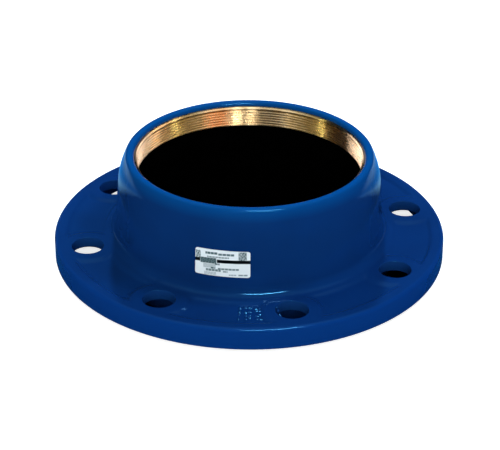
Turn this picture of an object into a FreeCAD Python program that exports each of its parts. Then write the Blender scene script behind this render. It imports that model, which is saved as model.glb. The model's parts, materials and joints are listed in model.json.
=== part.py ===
import FreeCAD, Part
import math
import os
import Sketcher

# A flange adapter that clamps the plain end of a plastic pipe to a standard flange.
# It stands on its raised face with the socket up. The origin is the centre of that face, +Z runs
# up the socket, and the bolt holes straddle X and Y. All sizes are in millimetres.

sizes = {
    # across, counted outwards from the pipe
    "pipe_diameter": 160,
    "ring_clearance": 1.0,
    "ring_top_wall": 4.0,
    "ring_base_wall": 7.8,
    "gasket_clearance": 2.6,
    "gasket_foot_reach": 7.9,
    "fit_gap": 0.3,
    "lip_gap": 2.0,
    "shoulder_wall": 6.5,
    "foot_wall": 8.7,
    "face_land": 9.0,
    "bolt_inset": 14.0,
    "bolt_edge_distance": 22.5,
    # up, counted from the raised face
    "raised_face_height": 3.0,
    "rim_height": 16.0,
    "plate_thickness": 8.0,
    "recess_depth": 2.2,
    "gasket_foot_height": 8.0,
    "gasket_height": 62.5,
    "ring_height": 15.0,
    "ring_cover": 0.3,
    "lip_height": 3.2,
    "shoulder_drop": 6.0,
    # flange details
    "bolt_count": 8,
    "bolt_hole_diameter": 23.0,
    "boss_width": 9.5,
    "rim_band": 9.5,
    "rim_wall": 9.0,
    "rib_thickness": 6.0,
    "rib_setback": 1.0,
    # roundings of the casting
    "rim_top_round": 3.0,
    "foot_round": 7.5,
    "shoulder_round": 60.0,
    "crest_round": 3.0,
    "crest_land": 0.7,
    # grip ring
    "ring_chamfer": 1.0,
    "saw_cut": 3.5,
    # label on the socket wall
    "label_width": 38.6,
    "label_height": 19.5,
    "label_thickness": 0.3,
    "label_bond": 0.05,
    "label_middle": 42.3,
    "label_bearing": -92.6,
}

# Radii and heights that follow from the sizes, as expressions of the sheet.
ring_bore = "(Sizes.pipe_diameter / 2 + Sizes.ring_clearance)"
ring_top = f"({ring_bore} + Sizes.ring_top_wall)"
ring_base = f"({ring_bore} + Sizes.ring_base_wall)"
gasket_bore = "(Sizes.pipe_diameter / 2 + Sizes.gasket_clearance)"
gasket_foot = f"({ring_base} + Sizes.gasket_foot_reach)"
seat_top = f"({ring_top} + Sizes.fit_gap)"
chamber = f"({ring_base} + Sizes.fit_gap)"
foot_recess = f"({gasket_foot} + Sizes.fit_gap)"
lip_bore = f"({ring_bore} + Sizes.lip_gap)"
crest_inner = f"({lip_bore} + Sizes.lip_height)"
crest_outer = f"({crest_inner} + Sizes.crest_land)"
shoulder = f"({chamber} + Sizes.shoulder_wall)"
wall_foot = f"({chamber} + Sizes.foot_wall)"
raised_face = f"({foot_recess} + Sizes.face_land)"
bolt_circle = f"({raised_face} + Sizes.bolt_inset)"
rim = f"({bolt_circle} + Sizes.bolt_edge_distance)"
rim_inside = f"({rim} - Sizes.rim_wall)"
recess_outer = f"({rim} - Sizes.rim_band)"
hole_radius = "(Sizes.bolt_hole_diameter / 2)"
boss_radius = f"({hole_radius} + Sizes.boss_width)"

flange_top = "(Sizes.raised_face_height + Sizes.rim_height)"
plate_base = f"({flange_top} - Sizes.plate_thickness)"
recess_floor = f"({flange_top} - Sizes.recess_depth)"
wall_start = f"({recess_floor} + Sizes.foot_round)"
ring_start = "Sizes.gasket_height"
ring_end = f"({ring_start} + Sizes.ring_height)"
seat_end = f"({ring_end} + Sizes.ring_cover)"
crest = f"({seat_end} + Sizes.lip_height)"
shoulder_level = f"({ring_start} - Sizes.shoulder_drop)"

doc = FreeCAD.newDocument("FlangeAdapter")
sheet = doc.addObject("Spreadsheet::Sheet", "Sizes")
for row, (alias, size) in enumerate(sizes.items(), start=1):
    sheet.set(f"A{row}", alias)
    sheet.set(f"B{row}", str(size))
    sheet.setAlias(f"B{row}", alias)
doc.recompute()


def number(expression):
    found = sheet.evalExpression(expression)
    return float(getattr(found, "Value", found))


def origin_part(body, role):
    return next(part for part in body.Origin.OriginFeatures if part.Role == role)


def new_body(name):
    body = doc.addObject("PartDesign::Body", name)
    body.Label = name
    body.Placement = FreeCAD.Placement()
    return body


def new_sketch(body, name, plane, level=None):
    sketch = body.newObject("Sketcher::SketchObject", name)
    sketch.AttachmentSupport = [(origin_part(body, plane), "")]
    sketch.MapMode = "FlatFace"
    if level:
        sketch.setExpression(".AttachmentOffset.Base.z", level)
    return sketch


def bind(sketch, constraint, expression):
    index = sketch.addConstraint(constraint)
    sketch.setExpression(f"Constraints[{index}]", expression)


def place_point(sketch, edge, end, across, up):
    bind(sketch, Sketcher.Constraint("DistanceX", -1, 1, edge, end, number(across)), across)
    bind(sketch, Sketcher.Constraint("DistanceY", -1, 1, edge, end, number(up)), up)


def facets(across, up, radius, start, end, count):
    # Corners on a circle round (across, up), from one angle to the other in equal steps. Small
    # roundings are drawn this way, because they are turned into many fewer faces than a torus.
    angles = [start + (end - start) * step / count for step in range(count + 1)]
    return [
        (f"{across} + {radius} * cos({angle} deg)", f"{up} + {radius} * sin({angle} deg)")
        for angle in angles
    ]


def draw_profile(sketch, corners):
    points = [FreeCAD.Vector(number(across), number(up), 0) for across, up in corners]
    edges = [
        sketch.addGeometry(Part.LineSegment(points[index - 1], point))
        for index, point in enumerate(points)
    ]
    for index, edge in enumerate(edges):
        following = edges[(index + 1) % len(edges)]
        sketch.addConstraint(Sketcher.Constraint("Coincident", edge, 2, following, 1))
        place_point(sketch, edge, 2, *corners[index])


def draw_circle(sketch, across, up, radius):
    centre = FreeCAD.Vector(number(across), number(up), 0)
    edge = sketch.addGeometry(Part.Circle(centre, FreeCAD.Vector(0, 0, 1), number(radius)))
    bind(sketch, Sketcher.Constraint("Radius", edge, number(radius)), radius)
    place_point(sketch, edge, 3, across, up)


def revolve(body, name, corners, turn="360 deg"):
    sketch = new_sketch(body, f"{name}_profile", "XZ_Plane")
    draw_profile(sketch, corners)
    feature = body.newObject("PartDesign::Revolution", name)
    feature.Profile = sketch
    feature.ReferenceAxis = (sketch, ["V_Axis"])
    feature.setExpression("Angle", turn)
    body.Tip = feature
    doc.recompute()
    return feature


def pad(body, name, sketch, length):
    feature = body.newObject("PartDesign::Pad", name)
    feature.Profile = sketch
    feature.setExpression("Length", length)
    body.Tip = feature
    doc.recompute()
    return feature


def cut_upwards(body, name, sketch):
    before = body.Shape.Volume
    feature = body.newObject("PartDesign::Pocket", name)
    feature.Profile = sketch
    feature.Type = "ThroughAll"
    feature.Reversed = True
    body.Tip = feature
    doc.recompute()
    if body.Shape.Volume > before - 1:
        raise RuntimeError(f"{name} cuts nothing")
    return feature


def repeat_round(body, name, feature):
    pattern = body.newObject("PartDesign::PolarPattern", name)
    pattern.Originals = [feature]
    pattern.Axis = (origin_part(body, "Z_Axis"), [""])
    pattern.Angle = 360
    pattern.setExpression("Occurrences", "Sizes.bolt_count")
    body.Tip = pattern
    doc.recompute()
    return pattern


# Casting: one turned section with the socket, the flange and the hollow under it. The ring's
# seat narrows towards the mouth, so that a pull on the pipe tightens the ring.
def make_flange_body():
    body = new_body("flange_body")
    rim_base = "Sizes.raised_face_height"
    inwards = "(Sizes.shoulder_round - Sizes.crest_round)"
    shoulder_across = f"({crest_outer} - {inwards} * cos(25 deg))"
    shoulder_up = f"({crest} - Sizes.crest_round - {inwards} * sin(25 deg))"
    revolve(body, "casting", [
        (foot_recess, "0"),
        (raised_face, "0"),
        (raised_face, plate_base),
        (rim_inside, plate_base),
        (rim_inside, rim_base),
        (rim, rim_base),
        *facets(f"({rim} - Sizes.rim_top_round)", f"({flange_top} - Sizes.rim_top_round)",
                "Sizes.rim_top_round", 0, 90, 1),
        (recess_outer, flange_top),
        (recess_outer, recess_floor),
        *facets(f"({wall_foot} + Sizes.foot_round)", wall_start, "Sizes.foot_round", 270, 180, 1),
        (shoulder, shoulder_level),
        *facets(shoulder_across, shoulder_up, "Sizes.shoulder_round", 14, 25, 1),
        *facets(crest_outer, f"({crest} - Sizes.crest_round)", "Sizes.crest_round", 25, 90, 2)[1:],
        *facets(crest_inner, seat_end, "Sizes.lip_height", 90, 180, 1),
        (seat_top, seat_end),
        (chamber, ring_start),
        (chamber, "Sizes.gasket_foot_height"),
    ])
    add_ribs(body)
    add_bosses(body)
    hole_sketch = new_sketch(body, "bolt_hole_circle", "XY_Plane")
    draw_circle(hole_sketch, *bolt_place(), hole_radius)
    hole = cut_upwards(body, "bolt_hole", hole_sketch)
    repeat_round(body, "bolt_holes", hole)
    return body


def bolt_place():
    half_step = "(180 deg / Sizes.bolt_count)"
    return f"{bolt_circle} * cos({half_step})", f"{bolt_circle} * sin({half_step})"


# Ribs tie the rim to the hub across the hollow, one between each two bolts.
def add_ribs(body):
    rib_start = "(Sizes.raised_face_height + Sizes.rib_setback)"
    half_rib = "Sizes.rib_thickness / 2"
    hub_end = f"{raised_face} - Sizes.rib_setback"
    rim_end = f"{rim_inside} + Sizes.rib_setback"
    sketch = new_sketch(body, "rib_outline", "XY_Plane", rib_start)
    draw_profile(sketch, [
        (hub_end, f"-{half_rib}"),
        (rim_end, f"-{half_rib}"),
        (rim_end, half_rib),
        (hub_end, half_rib),
    ])
    rib = pad(body, "rib", sketch, f"{plate_base} + Sizes.plate_thickness / 2 - {rib_start}")
    repeat_round(body, "ribs", rib)


# Flat bosses rise to the rim's level round the bolt holes, so shallow pockets are left between
# them. Each is a disc that ends inside the rim's raised band.
def add_bosses(body):
    sketch = new_sketch(body, "boss_outline", "XY_Plane", recess_floor)
    band_overlap = f"({recess_outer} + Sizes.recess_depth)"
    disc, clip, circle = number(boss_radius), number(band_overlap), number(bolt_circle)
    bearing = math.pi / sizes["bolt_count"]
    spread = math.acos((clip ** 2 + circle ** 2 - disc ** 2) / (2 * clip * circle))
    centre = FreeCAD.Vector(circle * math.cos(bearing), circle * math.sin(bearing), 0)
    corners = [
        FreeCAD.Vector(clip * math.cos(angle), clip * math.sin(angle), 0)
        for angle in (bearing + spread, bearing - spread)
    ]
    angles = [math.atan2(point.y - centre.y, point.x - centre.x) for point in corners]
    upwards = FreeCAD.Vector(0, 0, 1)
    disc_edge = sketch.addGeometry(Part.ArcOfCircle(Part.Circle(centre, upwards, disc), *angles))
    band_edge = sketch.addGeometry(Part.ArcOfCircle(
        Part.Circle(FreeCAD.Vector(), upwards, clip), bearing - spread, bearing + spread))
    sketch.addConstraint(Sketcher.Constraint("Coincident", disc_edge, 1, band_edge, 2))
    sketch.addConstraint(Sketcher.Constraint("Coincident", disc_edge, 2, band_edge, 1))
    sketch.addConstraint(Sketcher.Constraint("Coincident", band_edge, 3, -1, 1))
    bind(sketch, Sketcher.Constraint("Radius", disc_edge, disc), boss_radius)
    bind(sketch, Sketcher.Constraint("Radius", band_edge, clip), band_overlap)
    place_point(sketch, disc_edge, 3, *bolt_place())
    boss = pad(body, "boss", sketch, "Sizes.recess_depth")
    repeat_round(body, "bosses", boss)


# Split brass ring. Its cone tightens in the casting's seat.
def make_grip_ring():
    body = new_body("grip_ring")
    revolve(body, "cone", [
        (ring_bore, ring_start),
        (ring_base, ring_start),
        (ring_top, ring_end),
        (f"{ring_bore} + Sizes.ring_chamfer", ring_end),
        (ring_bore, f"{ring_end} - Sizes.ring_chamfer"),
    ])
    half_cut = "Sizes.saw_cut / 2"
    sketch = new_sketch(body, "saw_cut_outline", "XY_Plane")
    draw_profile(sketch, [
        (f"{ring_bore} - Sizes.saw_cut", f"-{half_cut}"),
        (f"{ring_base} + Sizes.saw_cut", f"-{half_cut}"),
        (f"{ring_base} + Sizes.saw_cut", half_cut),
        (f"{ring_bore} - Sizes.saw_cut", half_cut),
    ])
    cut_upwards(body, "saw_cut", sketch)
    return body


# Rubber sleeve that seals on the pipe, and on the mating flange with its foot.
def make_gasket():
    body = new_body("gasket")
    revolve(body, "sleeve", [
        (gasket_bore, "0"),
        (gasket_foot, "0"),
        (ring_base, "Sizes.gasket_foot_height"),
        (ring_base, ring_start),
        (gasket_bore, ring_start),
    ])
    return body


# Sticker that follows the drafted wall of the socket.
def make_label():
    body = new_body("label")
    draft = f"({wall_foot} - {shoulder}) / ({shoulder_level} - {wall_start})"

    def wall_at(level):
        return f"{wall_foot} - ({level} - {wall_start}) * {draft} + Sizes.label_bond"

    low = "(Sizes.label_middle - Sizes.label_height / 2)"
    high = "(Sizes.label_middle + Sizes.label_height / 2)"
    spread = f"Sizes.label_width / ({wall_at('Sizes.label_middle')}) * 180 deg / pi"
    film = revolve(body, "film", [
        (wall_at(low), low),
        (f"{wall_at(low)} + Sizes.label_thickness", low),
        (f"{wall_at(high)} + Sizes.label_thickness", high),
        (wall_at(high), high),
    ], turn=spread)
    film.Midplane = True
    body.setExpression(".Placement.Rotation.Yaw", "Sizes.label_bearing * 1 deg")
    doc.recompute()
    return body


nodes = [make_flange_body(), make_grip_ring(), make_gasket(), make_label()]
doc.recompute()

for item in doc.Objects:
    if "Invalid" in item.State or "Error" in item.State:
        raise RuntimeError(f"{item.Name} did not build: {item.State}")
for node in nodes:
    if node.Shape.isNull() or not node.Shape.isValid() or len(node.Shape.Solids) != 1:
        raise RuntimeError(f"{node.Label} has no single valid solid")

os.makedirs("parts", exist_ok=True)
for node in nodes:
    node.Shape.exportStep(os.path.join("parts", f"{node.Label}.step"))
    box = node.Shape.optimalBoundingBox()
    extents = f"{box.XLength:.1f} x {box.YLength:.1f} x {box.ZLength:.1f} mm"
    print(f"{node.Label}: {node.Shape.Volume:.0f} mm3, {extents}")
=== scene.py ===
import json
import math

import bmesh
import bpy
import numpy as np
from mathutils import Matrix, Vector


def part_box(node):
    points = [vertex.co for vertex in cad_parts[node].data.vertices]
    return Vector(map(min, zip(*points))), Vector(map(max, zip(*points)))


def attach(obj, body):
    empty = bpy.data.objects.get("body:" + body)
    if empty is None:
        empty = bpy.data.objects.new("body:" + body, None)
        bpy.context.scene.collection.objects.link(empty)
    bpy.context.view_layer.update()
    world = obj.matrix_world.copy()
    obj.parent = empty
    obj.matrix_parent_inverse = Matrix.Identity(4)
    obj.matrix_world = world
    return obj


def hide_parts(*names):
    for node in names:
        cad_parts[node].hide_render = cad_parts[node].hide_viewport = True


# Flange adapter: a coated iron casting, a split brass grip ring, a rubber gasket and a sticker.
# Each piece has one dictionary of values that may be changed, beside its code. Lengths there are
# in millimetres and angles in degrees.
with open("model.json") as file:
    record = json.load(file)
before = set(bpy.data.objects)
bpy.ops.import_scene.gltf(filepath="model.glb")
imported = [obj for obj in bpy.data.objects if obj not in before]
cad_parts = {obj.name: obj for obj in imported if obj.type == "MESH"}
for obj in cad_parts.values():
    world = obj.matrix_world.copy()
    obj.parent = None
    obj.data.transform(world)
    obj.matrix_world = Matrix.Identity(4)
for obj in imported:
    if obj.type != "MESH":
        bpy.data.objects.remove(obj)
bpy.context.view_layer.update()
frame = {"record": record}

# sizes that come from the frame, in millimetres
mounts = {mount["name"]: mount for mount in frame["record"]["mounts"]}
bolts = mounts["flange_bolts"]["dims"]
boltCount = bolts["count"]
boltCircle = bolts["pcd_mm"] / 2
holeRadius = bolts["hole_r_mm"]
boltStep = 2 * math.pi / boltCount
flangeTop = mounts["flange_bolts"]["pos_m"][2] * 1000
pipeBore = mounts["pipe_socket"]["dims"]["r_mm"]
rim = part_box("flange_body")[1].x * 1000
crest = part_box("flange_body")[1].z * 1000
ringBase, ringTop = (corner.z * 1000 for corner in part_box("grip_ring"))
labelLow, labelHigh = (corner.z * 1000 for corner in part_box("label"))


# sRGB hex colour as linear red, green, blue and alpha
def linear(colour):
    channels = [int(colour[start:start + 2], 16) / 255 for start in (1, 3, 5)]
    return [c / 12.92 if c <= 0.04045 else ((c + 0.055) / 1.055) ** 2.4 for c in channels] + [1]


# Adds a node with its settings, and links or fills its inputs.
def addNode(tree, kind, links=None, **settings):
    node = tree.nodes.new(kind)
    for name, setting in settings.items():
        setattr(node, name, setting)
    for socket, source in (links or {}).items():
        if isinstance(source, bpy.types.NodeSocket):
            tree.links.new(source, node.inputs[socket])
        else:
            node.inputs[socket].default_value = source
    return node


# a pattern's Scale, from the size of its grain
def perMetre(millimetres):
    return 1000 / millimetres


def newMaterial(name):
    material = bpy.data.materials.new(name)
    material.use_nodes = True
    tree = material.node_tree
    tree.nodes.clear()
    output = addNode(tree, "ShaderNodeOutputMaterial")
    place = addNode(tree, "ShaderNodeTexCoord").outputs["Object"]
    return material, tree, output, place


def noise(tree, place, size, detail, roughness=0.5):
    return addNode(tree, "ShaderNodeTexNoise", {
        "Vector": place, "Scale": perMetre(size), "Detail": detail, "Roughness": roughness,
    }).outputs["Fac"]


def remap(tree, source, low, high, outLow, outHigh):
    return addNode(tree, "ShaderNodeMapRange", {
        "Value": source, "From Min": low, "From Max": high, "To Min": outLow, "To Max": outHigh,
    }).outputs["Result"]


# The inputs go by number, because a mix node has several of the same name.
def mixColour(tree, share, first, second):
    node = addNode(tree, "ShaderNodeMix", data_type="RGBA")
    for socket, source in ((node.inputs[0], share), (node.inputs[6], first), (node.inputs[7], second)):
        if isinstance(source, bpy.types.NodeSocket):
            tree.links.new(source, socket)
        else:
            socket.default_value = source
    return node.outputs[2]


def bump(tree, height, depth, below=None):
    links = {"Height": height, "Distance": depth / 1000, "Strength": 1.0}
    if below:
        links["Normal"] = below
    return addNode(tree, "ShaderNodeBump", links).outputs["Normal"]


# goes from one value to another while a distance grows from start to end millimetres
def ramp(tree, distance, start, end, first=0, last=1):
    return remap(tree, distance, start / 1000, end / 1000, first, last)


def combine(tree, operation, first, second):
    return addNode(tree, "ShaderNodeMath", {0: first, 1: second}, operation=operation).outputs[0]


# rises from 0 to 1 with level ends: three times the square, less twice the cube
def smoothStep(share):
    share = np.clip(share, 0, 1)
    return share * share * (3 - 2 * share)


# the smaller of two values, with the corner between them rounded over width
def smoothMin(first, second, width):
    share = np.clip(0.5 + 0.5 * (second - first) / width, 0, 1)
    return second * (1 - share) + first * share - width * share * (1 - share)


# points round the axis: x is the radius times the angle's cosine, and y times its sine
def polar(radius, angle, height):
    radius, angle, height = np.broadcast_arrays(radius, angle, height)
    return np.stack([radius * np.cos(angle), radius * np.sin(angle), height], axis=-1)


# angles in radians, spread evenly from one in degrees to another
def arcAngles(start, end, count):
    return np.radians(np.linspace(start, end, count))


# Collects grids of points in millimetres and makes one closed mesh in metres of them.
class Surface:
    def __init__(self):
        self.points = []
        self.faces = []
        self.count = 0

    def addGrid(self, points, wrapRows=False, wrapColumns=False, keep=None):
        rows, columns = points.shape[:2]
        index = np.arange(rows * columns).reshape(rows, columns) + self.count
        if wrapRows:
            index = np.concatenate([index, index[:1]])
        if wrapColumns:
            index = np.concatenate([index, index[:, :1]], axis=1)
        quads = np.stack([index[:-1, :-1], index[:-1, 1:], index[1:, 1:], index[1:, :-1]], axis=-1)
        quads = quads[keep] if keep is not None else quads.reshape(-1, 4)
        self.points.append(points.reshape(-1, 3))
        self.faces += quads.tolist()
        self.count += rows * columns
        return index

    def build(self, name, material, mergeAt=0.01, sharpAngle=35):
        mesh = bpy.data.meshes.new(name)
        mesh.from_pydata((np.concatenate(self.points) / 1000).tolist(), [], self.faces)
        piece = bpy.data.objects.new(name, mesh)
        bpy.context.scene.collection.objects.link(piece)
        work = bmesh.new()
        work.from_mesh(mesh)
        bmesh.ops.remove_doubles(work, verts=work.verts, dist=mergeAt / 1000)
        bmesh.ops.recalc_face_normals(work, faces=work.faces)
        work.to_mesh(mesh)
        work.free()
        mesh.shade_smooth()
        mesh.set_sharp_from_angle(angle=math.radians(sharpAngle))
        mesh.materials.append(material)
        print(name, "has", len(mesh.polygons), "faces")
        return piece


# x, y and z of a piece's vertices, in millimetres
def verticesOf(piece):
    flat = np.empty(3 * len(piece.data.vertices))
    piece.data.vertices.foreach_get("co", flat)
    return flat.reshape(-1, 3).T * 1000


# stores one number at each vertex, for the piece's material to read
def storeAtVertices(piece, name, values):
    attribute = piece.data.attributes.new(name, "FLOAT", "POINT")
    attribute.data.foreach_set("value", values.astype(np.float32))


casting = {
    "bossRadius": 21.0,
    "recessOuter": 133.0,
    "recessInner": 106.5,
    "recessDepth": 1.8,
    "recessEdge": 6.0,
    "recessCorner": 4.0,
    "recessOuterSlope": 1.3,
    "footRound": 7.5,
    "wallFoot": 97.8,
    "wallFootHeight": 24.3,
    "shoulder": 95.6,
    "shoulderHeight": 56.5,
    "shoulderPull": 8.0,
    "crestOuter": 86.9,
    "crestInner": 86.2,
    "crestRound": 3.0,
    "crestLean": 25.0,
    "lipHeight": 3.2,
    "lipReturn": 0.15,
    "fitGap": 0.3,
    "recess": 97.0,
    "recessHeight": 8.0,
    "raisedFace": 106.0,
    "faceEdge": 0.6,
    "rimBase": 3.0,
    "plateBase": 11.0,
    "rimInside": 133.5,
    "rimSlopeRadii": (138.0, 136.0, 134.6),
    "rimTopRound": 3.0,
    "rimBaseRound": 0.6,
    "rimInnerEdge": 0.5,
    "holeEdge": 0.5,
    "windowAngle": 6.45,
    "ribThickness": 6.0,
    "ribBase": 4.0,
    "wave": 0.12,
    "markRows": 4,
    "markColumns": 8,
    "markRadius": 112.6,
    "markRowStep": 4.5,
    "markBearing": -78.5,
    "markColumnStep": 1.75,
    "markSize": 2.3,
    "markScatter": 0.6,
    "markSlope": 1.3,
    "markSink": 0.04,
    "markRoot": 0.3,
    "coatDark": "#082B5E",
    "coatLight": "#082F66",
    # painted light: the rim's side is coloured lighter, as if lit from below
    "rimCoat": "#063374",
    "rimCoatBetween": (139.5, 142.0),
    # painted light: the crest is coloured lighter, as if lit from above
    "crestCoat": "#034685",
    "crestCoatBetween": (72, 82),
    # painted light: the bolt holes' walls are coloured lighter against their shade
    "holeCoat": "#0F3872",
    "holeCoatMargin": 0.3,
    "roughness": (0.08, 0.12),
    "glossTint": (0.1, 0.55, 1.0, 1.0),
    "unevenSize": 55,
    "sandSize": 6,
    "sandDepth": 0.09,
    "peelSize": 2.2,
    "peelDepth": 0.014,
}
wallSlope = (casting["wallFoot"] - casting["shoulder"]) / (
    casting["shoulderHeight"] - casting["wallFootHeight"]
)


# Epoxy powder coat on cast iron: glossy and deep blue, with a fine orange peel, a sandy grain and
# the casting's slow unevenness under it. Light is painted into its colour: it is a little lighter at
# the crest and on the rim's side, as painted highlight, and inside the bolt holes, against their shade.
def coatedIron():
    material, tree, output, place = newMaterial("blueEpoxyCoatOnIron")
    uneven = noise(tree, place, casting["unevenSize"], 2)
    peel = noise(tree, place, casting["peelSize"], 1)
    sand = noise(tree, place, casting["sandSize"], 2)
    share = remap(tree, uneven, 0.35, 0.65, 0, 1)
    colour = mixColour(tree, share, linear(casting["coatDark"]), linear(casting["coatLight"]))
    height = addNode(tree, "ShaderNodeSeparateXYZ", {"Vector": place}).outputs["Z"]
    flat = addNode(tree, "ShaderNodeVectorMath", {0: place, 1: (1, 1, 0)}, operation="MULTIPLY").outputs[0]
    radius = addNode(tree, "ShaderNodeVectorMath", {0: flat}, operation="LENGTH").outputs["Value"]
    # painted light: the rim's side is coloured lighter, as if the floor lit it from below
    rimLightShare = ramp(tree, radius, *casting["rimCoatBetween"])
    colour = mixColour(tree, rimLightShare, colour, linear(casting["rimCoat"]))
    # painted light: the crest and the top of the shoulder are coloured lighter with height, as if lit from
    # above
    crestLightShare = ramp(tree, height, *casting["crestCoatBetween"])
    colour = mixColour(tree, crestLightShare, colour, linear(casting["crestCoat"]))
    # painted light: the walls of the bolt holes are coloured lighter, so that they look less shaded
    holeLightShare = addNode(tree, "ShaderNodeAttribute", attribute_name="boltHole").outputs["Fac"]
    colour = mixColour(tree, holeLightShare, colour, linear(casting["holeCoat"]))
    normal = bump(tree, sand, casting["sandDepth"])
    normal = bump(tree, peel, casting["peelDepth"], normal)
    shader = addNode(tree, "ShaderNodeBsdfPrincipled", {
        "Base Color": colour,
        "Roughness": remap(tree, uneven, 0.3, 0.7, *casting["roughness"]),
        "IOR": 1.52,
        "Specular Tint": casting["glossTint"],
        "Normal": normal,
    })
    tree.links.new(shader.outputs[0], output.inputs[0])
    return material


# Slow unevenness of the cast surface, from 0 to 1: the sum of three sines over angle and height.
def castWave(angle, height):
    leaning = np.sin(7 * angle + 0.11 * height)
    crossing = np.sin(17 * angle - 0.19 * height + 1)
    level = np.sin(0.35 * height + 3 * angle)
    return 0.5 + (leaning + crossing + level) / 6


# the drafted wall of the socket: its radius falls evenly with height
def wallRadius(height):
    return casting["wallFoot"] - (height - casting["wallFootHeight"]) * wallSlope


# Height of the flange's upper side. Where a point is outside the discs round the bolts and inside
# the band between socket and rim, it sinks to the pocket floor by a smooth step.
def plateLevel(radius, angle):
    offset = angle % boltStep - boltStep / 2
    fromBolt = np.sqrt(radius ** 2 + boltCircle ** 2 - 2 * radius * boltCircle * np.cos(offset))
    fromRim = casting["recessOuterSlope"] * (casting["recessOuter"] - radius)
    inside = smoothMin(fromBolt - casting["bossRadius"], fromRim, casting["recessCorner"])
    inside = smoothMin(inside, radius - casting["recessInner"], casting["recessCorner"])
    sunk = smoothStep(inside / casting["recessEdge"] + 0.5) * casting["recessDepth"]
    return flangeTop - sunk - casting["wave"] * castWave(angle, radius)


# Angles of the casting's columns, closer together beside the bolts, with how many there are for
# each bolt and which of them bound the window that is left out round its hole.
def castingColumns():
    window, wide = casting["windowAngle"], 12
    half = np.concatenate([
        np.linspace(0, window, 11)[:-1],
        np.linspace(window, wide, 15)[:-1],
        np.linspace(wide, math.degrees(boltStep) / 2, 11),
    ])
    sector = np.concatenate([-half[:0:-1], half])[:-1]
    angle = np.concatenate([sector + math.degrees(boltStep) * (bolt + 0.5) for bolt in range(boltCount)])
    first = int(np.argmin(np.abs(sector + window)))
    last = int(np.argmin(np.abs(sector - window)))
    return np.radians(angle), len(sector), first, last


# The casting's section carried round the axis: one row of points for each corner or step of the
# section, from the foot of the socket over the crest, down inside, along the underside and back
# over the rim. Also returns which rows cross the bolt holes below and above.
def castingRows(angle):
    rows = []

    def addRow(radius, height, wavy=0.0):
        radius, height = np.broadcast_arrays(radius * 1.0, height * 1.0, np.zeros_like(angle))[:2]
        rows.append(polar(radius - wavy * casting["wave"] * castWave(angle, height), angle, height))

    # foot: a hollow quarter circle between the flange and the wall
    footRound = casting["footRound"]
    foot = plateLevel(wallRadius(flangeTop + footRound) + footRound, angle)
    wallStart = foot + footRound
    for turn in arcAngles(0, 90, 9):
        outward = footRound * (1 - math.sin(turn))
        addRow(wallRadius(wallStart) + outward, foot + footRound * (1 - math.cos(turn)), 1)
    for share in np.linspace(0, 1, 14)[1:]:
        height = wallStart * (1 - share) + casting["shoulderHeight"] * share
        addRow(wallRadius(height), height, 1)

    # shoulder: a cubic curve that leaves along the wall and arrives along the crest's rounding
    crestRound, lipHeight = casting["crestRound"], casting["lipHeight"]
    lean = math.radians(casting["crestLean"])
    start = np.array([casting["shoulder"], casting["shoulderHeight"]])
    end = np.array([
        casting["crestOuter"] + crestRound * math.cos(lean), crest - crestRound * (1 - math.sin(lean)),
    ])
    startPull = start + casting["shoulderPull"] * np.array([-wallSlope, 1])
    endPull = end - casting["shoulderPull"] * np.array([-math.sin(lean), math.cos(lean)])
    for share in np.linspace(0, 1, 14)[1:-1]:
        rest = 1 - share
        point = rest ** 3 * start + 3 * rest ** 2 * share * startPull
        point = point + 3 * rest * share ** 2 * endPull + share ** 3 * end
        addRow(point[0], point[1], 1)
    for turn in arcAngles(casting["crestLean"], 90, 9):
        drop = crestRound * (1 - math.sin(turn))
        addRow(casting["crestOuter"] + crestRound * math.cos(turn), crest - drop, 1)
    for turn in arcAngles(90, 175, 10):
        addRow(casting["crestInner"] + lipHeight * math.cos(turn), crest - lipHeight * (1 - math.sin(turn)))

    # inside: the cone that holds the ring, the gasket's chamber and the recess for its foot
    chamber = pipeBore + grip["baseWall"] + casting["fitGap"]
    addRow(casting["crestInner"] - lipHeight + casting["lipReturn"], crest - lipHeight)
    addRow(pipeBore + grip["topWall"] + casting["fitGap"], crest - lipHeight)
    addRow(chamber, ringBase)
    addRow(chamber, casting["recessHeight"])
    addRow(casting["recess"], 0.0)
    raisedFace, faceEdge = casting["raisedFace"], casting["faceEdge"]
    addRow(raisedFace - faceEdge, 0.0)
    addRow(raisedFace - 0.3 * faceEdge, 0.3 * faceEdge)
    addRow(raisedFace, faceEdge)

    # underside of the plate, in closer rows near the rim, then the rim from its lower inner edge
    # up to its rounded top
    plateBase, rimInside, rimBase = casting["plateBase"], casting["rimInside"], casting["rimBase"]
    finer = rimInside - 4
    windowRadii = np.concatenate([
        np.linspace(raisedFace + 0.5, finer, 17), np.linspace(finer, rimInside, 10)[1:],
    ])
    addRow(raisedFace, plateBase)
    below = (len(rows), len(rows) + len(windowRadii) - 1)
    for radius in windowRadii:
        addRow(radius, plateBase)
    addRow(rimInside, rimBase + casting["rimInnerEdge"])
    addRow(rimInside + casting["rimInnerEdge"], rimBase)
    baseRound, topRound = casting["rimBaseRound"], casting["rimTopRound"]
    for turn in arcAngles(-90, 0, 6):
        addRow(rim - baseRound * (1 - math.cos(turn)), rimBase + baseRound * (1 + math.sin(turn)))
    for height in np.linspace(rimBase + baseRound, flangeTop - topRound, 5)[1:]:
        addRow(rim, height)
    for turn in arcAngles(0, 90, 9)[1:]:
        radius = rim - topRound * (1 - math.cos(turn))
        level = flangeTop - casting["wave"] * castWave(angle, radius) * math.sin(turn)
        addRow(radius, level - topRound * (1 - math.sin(turn)))
    for radius in casting["rimSlopeRadii"]:
        addRow(radius, plateLevel(radius, angle))
    above = (len(rows), len(rows) + len(windowRadii) - 1)
    for radius in windowRadii[::-1]:
        addRow(radius, plateLevel(radius, angle))
    return np.stack(rows), below, above


# points round the border of a window of the grid, in order
def windowBorder(grid, rows, columns):
    firstRow, lastRow = rows
    low, high = columns
    return np.concatenate([
        grid[firstRow, low:high], grid[firstRow:lastRow, high],
        grid[lastRow, high:low:-1], grid[lastRow:firstRow:-1, low],
    ])


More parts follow.
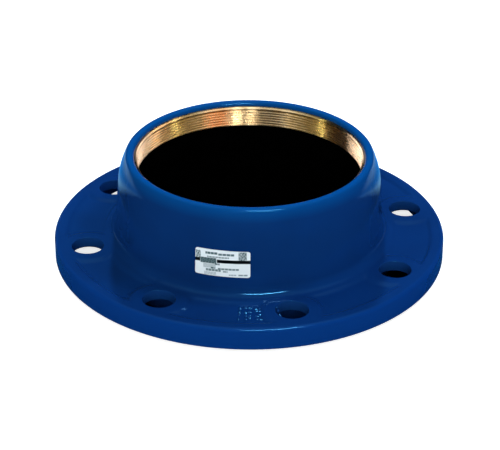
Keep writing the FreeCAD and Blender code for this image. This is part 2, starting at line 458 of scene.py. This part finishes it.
# Bolt hole: rings of points run from the window's upper border to the hole, over its rounded
# edge, down through the plate and out to the lower border. Each ring lies a share of the way
# from a border to a circle round the bolt.
def addBoltHole(surface, upper, lower, centre):
    def ring(loop, radius, share):
        away = loop[:, :2] - centre
        toward = away / np.linalg.norm(away, axis=1)[:, None]
        return loop[:, :2] * (1 - share) + (centre + toward * radius) * share

    # the lower loop is turned until it starts beside the upper loop's first point
    lower = np.roll(lower[::-1], 1, axis=0)
    offset = int(np.argmin(np.linalg.norm(lower[:, :2] - upper[0, :2], axis=1)))
    lower = np.roll(lower, -offset, axis=0)
    if np.linalg.norm(lower[1, :2] - upper[1, :2]) > np.linalg.norm(lower[-1, :2] - upper[1, :2]):
        lower = np.roll(lower[::-1], 1, axis=0)

    edge = casting["holeEdge"]
    rings = [upper]
    for share in (0.35, 0.65, 0.86, 1.0):
        flat = ring(upper, holeRadius + edge, share)
        level = plateLevel(np.hypot(*flat.T), np.arctan2(flat[:, 1], flat[:, 0]))
        rings.append(np.column_stack([flat, level]))
    edgeLevel = rings[-1][:, 2]
    for turn in arcAngles(0, 90, 5)[1:]:
        flat = ring(upper, holeRadius + edge * (1 - math.sin(turn)), 1)
        rings.append(np.column_stack([flat, edgeLevel - edge * (1 - math.cos(turn))]))
    for height in ((flangeTop + casting["plateBase"]) / 2, casting["plateBase"] + edge):
        flat = ring(upper, holeRadius, 1)
        rings.append(np.column_stack([flat, np.full(len(flat), height)]))
    for share in (1, 0.5):
        flat = ring(lower, holeRadius + edge, share)
        rings.append(np.column_stack([flat, np.full(len(flat), casting["plateBase"])]))
    rings.append(lower)
    surface.addGrid(np.stack(rings), wrapColumns=True)


# Rib across the hollow underside: a slab with rounded lower edges whose ends lie inside the hub,
# the rim and the plate.
def addRib(surface, bearing):
    across = np.array([-1, -0.8, -0.55, 0.55, 0.8, 1]) * casting["ribThickness"] / 2
    rounding = np.array([0.6, 0.15, 0, 0, 0.15, 0.6])
    roof = casting["plateBase"] + 2
    section = np.column_stack([across, casting["ribBase"] + rounding])
    section = np.concatenate([section, [(across[-1], roof), (across[0], roof)]])
    ends = np.array([casting["raisedFace"] - 1, casting["rimInside"] + 1])
    slab = np.zeros((len(section), 2, 3))
    slab[..., 0] = ends[None, :] * math.cos(bearing) - section[:, :1] * math.sin(bearing)
    slab[..., 1] = ends[None, :] * math.sin(bearing) + section[:, :1] * math.cos(bearing)
    slab[..., 2] = section[:, 1:]
    index = surface.addGrid(slab, wrapRows=True)
    surface.faces += [index[:-1, 0].tolist(), index[:-1, 1].tolist()]


# Raised cast mark: a low mound on the pocket floor, half a sine across times the root of half a
# sine along. Marks differ in size and lie a little out of line, by sines of their number. Each
# one's top and base meet at the edges, where the points are merged.
def addCastMark(surface, number):
    row, column = divmod(number, casting["markColumns"])
    radius = casting["markRadius"] + casting["markRowStep"] * row + math.sin(5 * number)
    fromMiddle = (column - (casting["markColumns"] - 1) / 2) * casting["markColumnStep"]
    aside = casting["markScatter"] * math.sin(3 * number + row)
    bearing = math.radians(casting["markBearing"] + fromMiddle + aside)
    length = casting["markSize"] + math.sin(7 * number)
    width = casting["markSize"] + casting["markScatter"] * math.cos(11 * number)
    level = flangeTop - casting["recessDepth"] - casting["markSink"]
    share = np.linspace(0, 1, 11)
    mound = np.sin(np.pi * share)[:, None] * np.sqrt(np.sin(np.pi * share))[None, :]
    top = polar(
        radius + (share[:, None] - 0.5) * width,
        bearing + (share[None, :] - 0.5) * length / radius,
        level + casting["markSlope"] * width / math.pi * mound,
    )
    base = top.copy()
    base[..., 2] = level - casting["markRoot"] * mound
    surface.addGrid(top)
    surface.addGrid(base)


# Casting: one closed grid, whose columns are angles and whose rows run round the section. A window
# round each bolt hole is left out of it, above and below, and the hole's own rings of points fill
# both. Ribs and cast marks are closed pieces that stand in the same surface.
def makeCasting(material):
    angle, perBolt, first, last = castingColumns()
    grid, below, above = castingRows(angle)
    windows = [(bolt * perBolt + first, bolt * perBolt + last) for bolt in range(boltCount)]
    keep = np.ones(grid.shape[:2], bool)
    for low, high in windows:
        keep[below[0]:below[1], low:high] = False
        keep[above[0]:above[1], low:high] = False
    surface = Surface()
    surface.addGrid(grid, wrapRows=True, wrapColumns=True, keep=keep)
    for bolt, columns in enumerate(windows):
        bearing = (bolt + 0.5) * boltStep
        centre = boltCircle * np.array([math.cos(bearing), math.sin(bearing)])
        addBoltHole(surface, windowBorder(grid, above, columns), windowBorder(grid, below, columns), centre)
    for rib in range(boltCount):
        addRib(surface, rib * boltStep)
    for number in range(casting["markRows"] * casting["markColumns"]):
        addCastMark(surface, number)
    piece = surface.build("flangeCasting", material)

    # the walls of the bolt holes are marked, for the coat's material to paint light into them
    x, y, height = verticesOf(piece)
    offset = np.arctan2(y, x) % boltStep - boltStep / 2
    away = np.hypot(np.hypot(x, y) * np.cos(offset) - boltCircle, np.hypot(x, y) * np.sin(offset))
    margin = casting["holeCoatMargin"]
    inside = (away < holeRadius + margin) & (height < flangeTop - margin)
    storeAtVertices(piece, "boltHole", inside)
    return piece


grip = {
    "topWall": 4.0,
    "baseWall": 7.8,
    "saw": 3.5,
    "toothCount": 6,
    "toothPitch": 2.05,
    "toothDepth": 0.8,
    "toothMargin": 0.9,
    "chamfer": 1.0,
    "edge": 0.25,
    "roughness": (0.25, 0.31),
    "brassDeep": "#E3C08A",
    "brassPale": "#EED2A2",
    "blotchSize": 9,
    "latheSize": 0.18,
    "latheDepth": 0.02,
}


# Turned brass: fine lathe lines run round the ring and stretch its highlights upward, so that a
# lamp shows as a bright band.
def turnedBrass():
    material, tree, output, place = newMaterial("turnedBrass")
    stretched = addNode(tree, "ShaderNodeMapping", {"Vector": place, "Scale": (0.02, 0.02, 1)}).outputs[0]
    lines = noise(tree, stretched, grip["latheSize"], 2, 0.7)
    blotch = noise(tree, place, grip["blotchSize"], 3)
    share = remap(tree, blotch, 0.35, 0.65, 0, 1)
    shader = addNode(tree, "ShaderNodeBsdfPrincipled", {
        "Base Color": mixColour(tree, share, linear(grip["brassDeep"]), linear(grip["brassPale"])),
        "Metallic": 1.0,
        "Roughness": remap(tree, lines, 0.3, 0.7, *grip["roughness"]),
        "Anisotropic": 1.0,
        "Anisotropic Rotation": 0.25,
        "Tangent": addNode(tree, "ShaderNodeTangent", direction_type="RADIAL", axis="Z").outputs[0],
        "Normal": bump(tree, lines, grip["latheDepth"]),
    })
    tree.links.new(shader.outputs[0], output.inputs[0])
    return material


# Grip ring: a toothed section is turned round the axis. Each of its points starts and ends where
# the saw cut's parallel sides cross its circle. The teeth are the crests of a cosine wave.
def makeGripRing(material):
    edge, chamfer = grip["edge"], grip["chamfer"]
    topWall, baseWall = pipeBore + grip["topWall"], pipeBore + grip["baseWall"]
    tooth = np.linspace(0, grip["toothCount"], grip["toothCount"] * 10 + 1)
    teeth = np.column_stack([
        pipeBore + grip["toothDepth"] * (1 - np.cos(2 * math.pi * tooth)) / 2,
        ringBase + grip["toothMargin"] + tooth * grip["toothPitch"],
    ])
    section = np.concatenate([[(pipeBore, ringBase + edge)], teeth, [
        (pipeBore, ringTop - chamfer), (pipeBore + chamfer, ringTop),
        (topWall - edge, ringTop), (topWall, ringTop - edge),
        (baseWall, ringBase + edge), (baseWall - edge, ringBase),
        (pipeBore + edge, ringBase),
    ]])
    radius = section[:, :1]
    start = np.arcsin(grip["saw"] / 2 / radius)
    share = np.linspace(0, 1, 513)[None, :]
    angle = start + (2 * np.pi - 2 * start) * share
    surface = Surface()
    index = surface.addGrid(polar(radius, angle, section[:, 1:]), wrapRows=True)
    surface.faces += [index[:-1, 0].tolist(), index[:-1, -1].tolist()]
    return surface.build("gripRing", material, sharpAngle=20)


sleeve = {
    "bore": 82.6,
    "outer": 88.8,
    "foot": 96.7,
    "footHeight": 8.0,
    "footEdge": 0.4,
    "footEdgeHeight": 0.45,
    "boreEdge": 0.5,
    "lipRound": 2.4,
    "landHeight": 2.0,
    "hollowStart": 4.0,
    "hollowCount": 2.5,
    "hollowDepth": 1.2,
    "roughness": (0.6, 0.75),
    # painted shade: both tones are darker than rubber's own, for the shade inside the bore
    "rubberDeep": "#000000",
    "rubberPale": "#020202",
    "grainSize": 0.8,
    "grainDepth": 0.03,
    "toneSize": 14,
}


# EPDM rubber: nearly black and dull, with a faint moulding grain. Its black is partly its own and
# partly painted shade: darker than rubber is, for the shade inside the bore.
def blackRubber():
    material, tree, output, place = newMaterial("epdmRubber")
    grain = noise(tree, place, sleeve["grainSize"], 2)
    tone = noise(tree, place, sleeve["toneSize"], 2)
    shader = addNode(tree, "ShaderNodeBsdfPrincipled", {
        "Base Color": mixColour(tree, tone, linear(sleeve["rubberDeep"]), linear(sleeve["rubberPale"])),
        "Roughness": remap(tree, grain, 0.3, 0.7, *sleeve["roughness"]),
        "Specular IOR Level": 0.02,
        "Normal": bump(tree, grain, sleeve["grainDepth"]),
    })
    tree.links.new(shader.outputs[0], output.inputs[0])
    return material


# Gasket: a section turned round the axis, with a tapered foot, a rounded lip at its top and
# shallow hollows in its bore, which follow a squared sine over height.
def makeGasket(material):
    bore, boreEdge, foot = sleeve["bore"], sleeve["boreEdge"], sleeve["foot"]
    lip, start = sleeve["lipRound"], sleeve["hollowStart"]
    turn = arcAngles(0, 90, 8)
    rounded = np.column_stack([bore + lip * (1 - np.sin(turn)), ringBase - lip * (1 - np.cos(turn))])
    land = ringBase - lip - sleeve["landHeight"]
    height = np.linspace(land, start, 40)
    wave = np.sin(math.pi * sleeve["hollowCount"] * (height - start) / (land - start)) ** 2
    section = np.concatenate([
        [(bore + boreEdge, 0), (foot - sleeve["footEdge"], 0), (foot, sleeve["footEdgeHeight"])],
        [(sleeve["outer"], sleeve["footHeight"]), (sleeve["outer"], ringBase)],
        rounded,
        np.column_stack([bore + sleeve["hollowDepth"] * wave, height]),
        [(bore, boreEdge)],
    ])
    angle = arcAngles(0, 360, 257)[:-1][None, :]
    surface = Surface()
    surface.addGrid(polar(section[:, :1], angle, section[:, 1:]), wrapRows=True, wrapColumns=True)
    return surface.build("gasketSleeve", material)


sticker = {
    "width": 38.6,
    "thickness": 0.3,
    "bond": 0.05,
    "bearing": -92.6,
    "corner": 1.6,
    "cell": 0.2,
    "printTilt": 1.5,
    "inkEdge": 0.2,
    "roughness": (0.3, 0.42),
    "paperShade": "#E2EEF1",
    "paperLight": "#ECF2F3",
    "faintInk": "#3F6064",
    "fullInk": "#020404",
    "toneSize": 12,
    "creaseSize": 5,
    "creaseDepth": 0.02,
}


# Printed polyester film: white with a slight sheen. The print's darkness is stored at each vertex
# of the sticker, and the ink is duller than the film.
def printedFilm():
    material, tree, output, place = newMaterial("printedPolyesterFilm")
    ink = addNode(tree, "ShaderNodeAttribute", attribute_name="ink").outputs["Fac"]
    tone = noise(tree, place, sticker["toneSize"], 2)
    crease = noise(tree, place, sticker["creaseSize"], 2)
    paper = mixColour(tree, tone, linear(sticker["paperShade"]), linear(sticker["paperLight"]))
    faint = mixColour(tree, remap(tree, ink, 0, 0.7, 0, 1), paper, linear(sticker["faintInk"]))
    shader = addNode(tree, "ShaderNodeBsdfPrincipled", {
        "Base Color": mixColour(tree, remap(tree, ink, 0.7, 0.95, 0, 1), faint, linear(sticker["fullInk"])),
        "Roughness": remap(tree, ink, 0, 1, *sticker["roughness"]),
        "Normal": bump(tree, crease, sticker["creaseDepth"]),
    })
    tree.links.new(shader.outputs[0], output.inputs[0])
    return material


# share of ink inside a rectangle on the sticker, with softened edges
def block(x, y, left, right, low, high):
    inside = np.minimum(np.minimum(x - left, right - x), np.minimum(y - low, high - y))
    return smoothStep(inside / sticker["inkEdge"] + 0.5)


# Plain print: a stripe that a grey box interrupts, two checked patches, two grey fields, and bars
# in place of words. Places are measured from the sticker's middle.
def inkAt(x, y):
    stripe = block(x, y, -19.4, -15.6, 0.3, 2.8) + block(x, y, -3.7, 19.4, 0.3, 2.8)
    grain = 0.5 + 0.5 * np.sign(np.sin(x * 3.9 + 1.5 * np.sin(y * 2.1)) * np.sin(y * 3.3 + x))
    fine = 0.5 + 0.5 * np.sign(np.sin(x * 5.1 + 2 * np.sin(y * 3)) * np.sin(y * 5.3 + 2 * np.cos(x * 2)))
    layers = [
        stripe,
        block(x, y, -15.4, -4.1, -0.5, 3.6) * (0.6 + 0.22 * grain),
        block(x, y, 11.4, 17.0, 2.7, 9.0) * (0.3 + 0.5 * fine),
        block(x, y, -18.9, -15.2, 2.6, 8.4) * (0.25 + 0.5 * grain),
        block(x, y, -13.4, -4.6, -4.0, -0.8) * (0.22 + 0.12 * fine),
        block(x, y, -13.0, -4.4, -9.2, -6.8) * (0.16 + 0.2 * fine),
    ]
    # each bar: left, right, low, high, ink, and how finely a sine along it breaks it up
    for left, right, low, high, ink, pitch in (
        (-11.8, -3.2, 6.4, 8.1, 0.72, 2.6),
        (-2.9, 8.4, 5.9, 7.5, 0.66, 2.2),
        (-10.6, 4.8, 3.8, 5.0, 0.5, 2.9),
        (-5.0, -1.8, -1.4, -0.2, 0.66, 2.4),
        (-8.0, -4.9, -4.4, -3.2, 0.72, 1.9),
        (-11.6, -1.1, -6.3, -4.6, 0.62, 2.7),
        (-3.0, 11.4, -4.9, -3.5, 0.62, 2.5),
        (0.4, 3.8, -6.6, -5.5, 0.55, 2.0),
        (4.6, 9.6, -8.9, -7.9, 0.4, 3.1),
        (10.8, 17.2, -9.0, -7.8, 0.5, 1.7),
    ):
        gaps = 0.5 + 0.5 * smoothStep(1.5 + 1.4 * np.sin(x * pitch + low * 5))
        layers.append(block(x, y, left, right, low, high) * ink * gaps)
    return np.clip(np.max(np.stack(layers), axis=0), 0, 1)


# Sticker: a thin slab bent round the wall. Its width at each height follows the rounded corners.
def makeSticker(material):
    width, height, corner = sticker["width"], labelHigh - labelLow, sticker["corner"]
    columns, rows = int(width / sticker["cell"]), int(height / sticker["cell"])
    up = np.linspace(-height / 2, height / 2, rows)[:, None]
    intoCorner = np.clip(np.abs(up) - (height / 2 - corner), 0, corner)
    halfWidth = width / 2 - corner + np.sqrt(corner ** 2 - intoCorner ** 2)
    across = np.linspace(-1, 1, columns)[None, :] * halfWidth
    middle = (labelLow + labelHigh) / 2
    bearing = math.radians(sticker["bearing"])
    angle = bearing + across / wallRadius(middle)
    level = middle + up + 0 * across
    under = wallRadius(level) - casting["wave"] * castWave(angle, level) + sticker["bond"]
    back = polar(under, angle, level)
    front = polar(under + sticker["thickness"], angle, level)
    surface = Surface()
    surface.addGrid(front)
    surface.addGrid(back)
    for outer, inner in (
        (front[0], back[0]), (front[-1], back[-1]), (front[:, 0], back[:, 0]), (front[:, -1], back[:, -1]),
    ):
        surface.addGrid(np.stack([outer, inner]))
    piece = surface.build("sticker", material)

    x, y, z = verticesOf(piece)
    across = (np.arctan2(y, x) - bearing) * wallRadius(middle)
    up = z - middle
    tilt = math.radians(sticker["printTilt"])
    ink = inkAt(across * math.cos(tilt) + up * math.sin(tilt), up * math.cos(tilt) - across * math.sin(tilt))
    storeAtVertices(piece, "ink", ink)
    # the coat doesn't mirror the sticker
    piece.visible_glossy = False
    return piece


def finishPiece(piece, node):
    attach(piece, "root")
    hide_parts(node)


view = {
    "azimuth": 8.3,
    "elevation": 28.19,
    "roll": 0.3,
    "distance": 1316,
    "targetHeight": 36.53,
    "lens": 129.6,
    "sensor": 36,
    "shiftAcross": 0.0014,
    "shiftUp": -0.0390,
}


def makeCamera():
    turn, rise, roll = (math.radians(view[key]) for key in ("azimuth", "elevation", "roll"))
    back = np.array([math.sin(turn) * math.cos(rise), -math.cos(turn) * math.cos(rise), math.sin(rise)])
    right = np.array([math.cos(turn), math.sin(turn), 0])
    up = np.cross(back, right)
    rolledRight = math.cos(roll) * right + math.sin(roll) * up
    rolledUp = math.cos(roll) * up - math.sin(roll) * right
    camera = bpy.data.objects.new("camera", bpy.data.cameras.new("camera"))
    bpy.context.scene.collection.objects.link(camera)
    camera.data.lens = view["lens"]
    camera.data.sensor_width = view["sensor"]
    camera.data.shift_x = view["shiftAcross"]
    camera.data.shift_y = view["shiftUp"]
    place = (np.array([0, 0, view["targetHeight"]]) + back * view["distance"]) / 1000
    matrix = np.eye(4)
    matrix[:3, 0], matrix[:3, 1], matrix[:3, 2], matrix[:3, 3] = rolledRight, rolledUp, back, place
    camera.matrix_world = Matrix(matrix.tolist())
    bpy.context.scene.camera = camera


studio = {
    "halfWidth": 4000,
    "sweepStart": 1500,
    "sweepRound": 450,
    "backdropTop": 480,
    "floorTone": "#D8DADC",
    "floorGlow": 0.78,
    # painted shadow: a near-black disc on the floor under the bore and the flange's hub
    "shadeTone": "#010101",
    "shadeCentre": (12, -6),
    "shadeEdge": (111.5, 113.5),
    "awayFromCamera": (-0.144, 0.990, 0),
    "rimEdge": (141, 146),
    "bankFront": (80, 115),
    "bankReach": (600, 1100),
    "bankByRim": (145, 200),
    "bankByRimGlow": 0.45,
    "skirtFront": (-90, 20),
    "skirtReach": (155, 185),
    "skirtGlow": 0.3,
    "nearTint": (0.02, 0.3, 1, 1),
    "laterTints": (
        (40, 80, (0.25, 0.62, 1, 1)),
        (115, 150, (0.03, 0.35, 1, 1)),
        (180, 270, (0.36, 0.68, 1, 1)),
    ),
    "aimHeight": 50,
    "roomTone": (0.006, 0.01, 0.014, 1),
    "ceilingTone": (0.34, 0.42, 0.5, 1),
    "ceilingRise": (0.75, 0.95),
    "airTone": (0.33, 0.34, 0.35, 1),
}


# Area lamp aimed at the object. Its bearing and rise are in degrees, the bearing from +X like the
# mounts' angles. Distance and size are in metres and power is in watts. With only, the lamp
# lights the objects of one collection alone.
def makeLamp(name, bearing, rise, distance, size, power, colour="#FFFFFF", glossy=True, diffuse=True,
             only=None):
    light = bpy.data.lights.new(name, "AREA")
    light.shape = "RECTANGLE"
    light.size, light.size_y = size
    light.energy = power
    light.color = linear(colour)[:3]
    lamp = bpy.data.objects.new(name, light)
    bpy.context.scene.collection.objects.link(lamp)
    bearing, rise = math.radians(bearing), math.radians(rise)
    away = np.array([math.cos(bearing) * math.cos(rise), math.sin(bearing) * math.cos(rise), math.sin(rise)])
    side = np.array([-math.sin(bearing), math.cos(bearing), 0])
    matrix = np.eye(4)
    matrix[:3, 0], matrix[:3, 1], matrix[:3, 2] = side, np.cross(away, side), away
    matrix[:3, 3] = away * distance + np.array([0, 0, studio["aimHeight"] / 1000])
    lamp.matrix_world = Matrix(matrix.tolist())
    lamp.visible_glossy = glossy
    lamp.visible_diffuse = diffuse
    if only:
        lamp.light_linking.receiver_collection = only


# Floor that curves up into a low backdrop behind the object: height over depth is a quarter
# circle. It is white to the camera, but for a painted shadow: a dark disc under the bore and part of
# the flange. In reflections it is dark, with a blue bank behind the object that fades far away and
# near the rim, and a faint skirt round the rim.
def makeFloor():
    start, curve, halfWidth = studio["sweepStart"], studio["sweepRound"], studio["halfWidth"]
    flat = np.linspace(-halfWidth, start, 12)
    turn = arcAngles(0, 90, 12)[1:]
    deep = np.concatenate([flat, start + curve * np.sin(turn), [start + curve]])
    height = np.concatenate([0 * flat, curve * (1 - np.cos(turn)), [studio["backdropTop"]]])
    across = np.linspace(-halfWidth, halfWidth, 12)[:, None]
    surface = Surface()
    surface.addGrid(np.stack(np.broadcast_arrays(across, deep[None, :], height[None, :]), axis=-1))

    # distances that the floor's tones follow: from the disc's centre, from the axis and behind it
    material, tree, output, place = newMaterial("paleStudioFloor")
    centre = (studio["shadeCentre"][0] / 1000, studio["shadeCentre"][1] / 1000, 0)
    fromCentre = addNode(tree, "ShaderNodeVectorMath", {0: place, 1: centre}, operation="SUBTRACT").outputs[0]
    away = addNode(tree, "ShaderNodeVectorMath", {0: fromCentre}, operation="LENGTH").outputs["Value"]
    radius = addNode(tree, "ShaderNodeVectorMath", {0: place}, operation="LENGTH").outputs["Value"]
    behind = addNode(tree, "ShaderNodeVectorMath", {
        0: place, 1: studio["awayFromCamera"],
    }, operation="DOT_PRODUCT").outputs["Value"]

    # what reflections show
    reach = ramp(tree, radius, *studio["bankReach"], 1, 0)
    bank = combine(tree, "MULTIPLY", ramp(tree, behind, *studio["bankFront"]), reach)
    byRim = ramp(tree, radius, *studio["bankByRim"], studio["bankByRimGlow"], 1)
    bank = combine(tree, "MULTIPLY", bank, byRim)
    skirtReach = ramp(tree, radius, *studio["skirtReach"], 1, 0)
    skirtGlow = ramp(tree, behind, *studio["skirtFront"], 0, studio["skirtGlow"])
    skirt = combine(tree, "MULTIPLY", skirtReach, skirtGlow)
    pale = combine(tree, "MAXIMUM", bank, skirt)
    pale = combine(tree, "MULTIPLY", pale, ramp(tree, radius, *studio["rimEdge"]))
    tint = studio["nearTint"]
    for first, last, later in studio["laterTints"]:
        tint = mixColour(tree, ramp(tree, behind, first, last), tint, later)
    dim = addNode(tree, "ShaderNodeEmission", {"Color": tint, "Strength": pale})

    # what the camera and diffuse light see
    # painted shadow: inside the disc the floor is near black and doesn't glow, to the camera and to diffuse
    # light
    clear = ramp(tree, away, *studio["shadeEdge"])
    tone = mixColour(tree, clear, linear(studio["shadeTone"]), linear(studio["floorTone"]))
    diffuse = addNode(tree, "ShaderNodeBsdfDiffuse", {"Color": tone})
    strength = combine(tree, "MULTIPLY", clear, studio["floorGlow"])
    glow = addNode(tree, "ShaderNodeEmission", {"Color": (1, 1, 1, 1), "Strength": strength})
    both = addNode(tree, "ShaderNodeAddShader", {0: diffuse.outputs[0], 1: glow.outputs[0]})
    path = addNode(tree, "ShaderNodeLightPath").outputs
    seen = addNode(tree, "ShaderNodeMixShader", {
        0: path["Is Camera Ray"], 1: diffuse.outputs[0], 2: both.outputs[0],
    })
    mirrored = combine(tree, "ADD", path["Is Glossy Ray"], path["Is Transmission Ray"])
    mixed = addNode(tree, "ShaderNodeMixShader", {0: mirrored, 1: seen.outputs[0], 2: dim.outputs[0]})
    tree.links.new(mixed.outputs[0], output.inputs[0])
    surface.build("studioFloor", material)


# The world is white to the camera and lights the object evenly. To glossy rays it is a dark room
# with a pale ceiling.
def makeWorld():
    world = bpy.data.worlds.new("studio")
    world.use_nodes = True
    tree = world.node_tree
    tree.nodes.clear()
    path = addNode(tree, "ShaderNodeLightPath").outputs
    toward = addNode(tree, "ShaderNodeTexCoord").outputs["Generated"]
    rise = addNode(tree, "ShaderNodeSeparateXYZ", {"Vector": toward}).outputs["Z"]
    overhead = remap(tree, rise, *studio["ceilingRise"], 0, 1)
    room = mixColour(tree, overhead, studio["roomTone"], studio["ceilingTone"])
    light = mixColour(tree, path["Is Glossy Ray"], studio["airTone"], room)
    colour = mixColour(tree, path["Is Camera Ray"], light, (1, 1, 1, 1))
    background = addNode(tree, "ShaderNodeBackground", {"Color": colour, "Strength": 1.0})
    addNode(tree, "ShaderNodeOutputWorld", {"Surface": background.outputs[0]})
    bpy.context.scene.world = world


gripRing = makeGripRing(turnedBrass())
coatedCasting = makeCasting(coatedIron())
finishPiece(coatedCasting, "flange_body")
finishPiece(gripRing, "grip_ring")
finishPiece(makeGasket(blackRubber()), "gasket")
finishPiece(makeSticker(printedFilm()), "label")
print("pieces made")

makeFloor()
makeWorld()
print("floor and world made")

# each lamp: name, bearing, rise, distance, size, power, and colour where it isn't white
for lamp in (
    ("keyBox", 98, 38, 2.6, (0.16, 0.16), 60, "#DCF0FF"),
    ("rightBox", 25, 58, 1.6, (0.5, 0.4), 14, "#A8DCFF"),
    ("leftBox", 171, 55, 1.6, (0.5, 0.4), 6.5),
    ("frontBox", -82, 20, 2.0, (1.6, 1.0), 22.5),
):
    makeLamp(*lamp, glossy=False)

# one lamp lights the coat alone, for its sparks, and the rest the brass, for the bands on its wall
coatOnly, brassOnly = (bpy.data.collections.new(name) for name in ("coatOnly", "brassOnly"))
coatOnly.objects.link(coatedCasting)
brassOnly.objects.link(gripRing)
makeLamp("frontSpark", -66, 52, 1.25, (0.55, 0.045), 8.5, diffuse=False, only=coatOnly)
for lamp in (
    ("patchLeft", -67.4, 30, 2.0, (0.17, 0.5), 11.5),
    ("patchRight", -83.5, 30, 2.0, (0.1, 0.5), 7.5),
    ("warmCard", -46.4, 30, 2.0, (0.8, 0.5), 6.5, "#FFA060"),
    ("rightWash", -14, 30, 2.0, (1.5, 0.5), 4, "#FFEDB8"),
    ("leftWash", -143, 30, 2.0, (1.5, 0.5), 2.8, "#FFEFA0"),
    ("rightStrip", 6, 30, 2.0, (0.02, 0.5), 2.5, "#FFFFB8"),
    ("leftStrip", -165.5, 30, 2.0, (0.02, 0.5), 2.5, "#FFFFB8"),
    ("thinStrip", -121.9, 30, 2.0, (0.02, 0.5), 0.8),
    ("rightCard", 60, 14, 2.0, (1.6, 0.4), 9, "#EEEAFF"),
    ("leftCard", 137, 14, 2.0, (1.6, 0.4), 12.5, "#EEEAFF"),
    ("backWash", 48, 44, 1.8, (0.35, 0.8), 6, "#FFE8D8"),
    ("ceilingCard", -82, 86, 1.3, (1.6, 1.0), 6),
):
    makeLamp(*lamp, only=brassOnly)
print("lamps made")

makeCamera()
bpy.context.scene.view_settings.view_transform = "Standard"
print("camera made")
